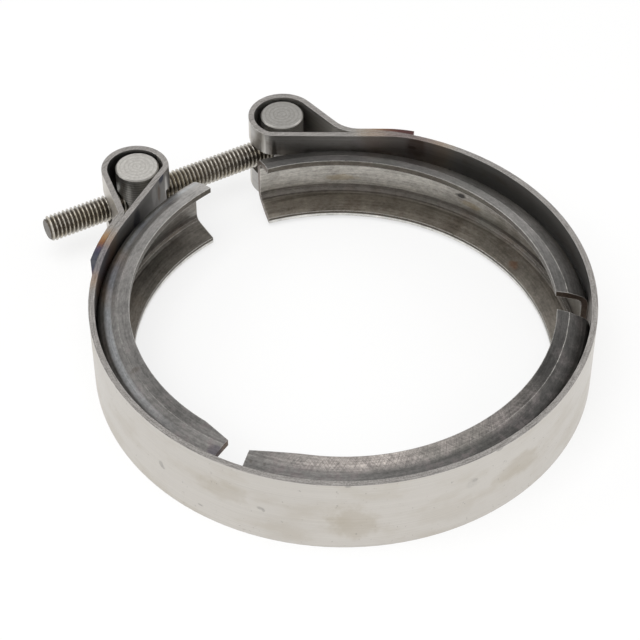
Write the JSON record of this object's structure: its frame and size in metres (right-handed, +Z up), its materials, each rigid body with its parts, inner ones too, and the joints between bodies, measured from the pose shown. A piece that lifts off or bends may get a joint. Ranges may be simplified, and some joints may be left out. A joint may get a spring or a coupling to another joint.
{
  "type": "v band clamp",
  "caption": "V band clamp: a sheet-steel band with V retainers inside, closed by a T bolt between two rolled end loops; joins flanged exhaust pipes.",
  "frame": {"origin": "centre of the ring at the mid-height of the band, where the two pipe flanges meet", "axes": "+Z up along the ring's axis, +Y from the ring's centre towards the gap between the loops, +X from the bolt's free end towards its head"},
  "size_m": [0.109, 0.1207, 0.019],
  "materials": {
    "band_steel": "brushed strip with tool marks, brown stains and heat tint at the welded ends",
    "retainer_steel": "dull rolled steel with fine scratches",
    "bolt_steel": "bright plated thread with dark valleys",
    "pin_steel": "turned, with rings on the end faces"
  },
  "bodies": {
    "clamp": {"band": "band_steel", "retainer_front": "retainer_steel", "retainer_left": "retainer_steel", "retainer_rear": "retainer_steel"},
    "t_bolt": {"t_bolt_shank": "bolt_steel", "t_bolt_head": "pin_steel"},
    "trunnion": {"trunnion": "pin_steel"}
  },
  "joints": [
    {"name": "t_bolt_swing", "type": "hinge", "parent": "clamp", "child": "t_bolt", "pos_m": [0.0174, 0.0592, 0], "axis": [0, 0, 1], "range_deg": [-0.3, 0.8]},
    {"name": "trunnion_slide", "type": "slide", "parent": "t_bolt", "child": "trunnion", "axis": [1, 0, 0], "range_m": [-0.0015, 0.0001]}
  ]
}
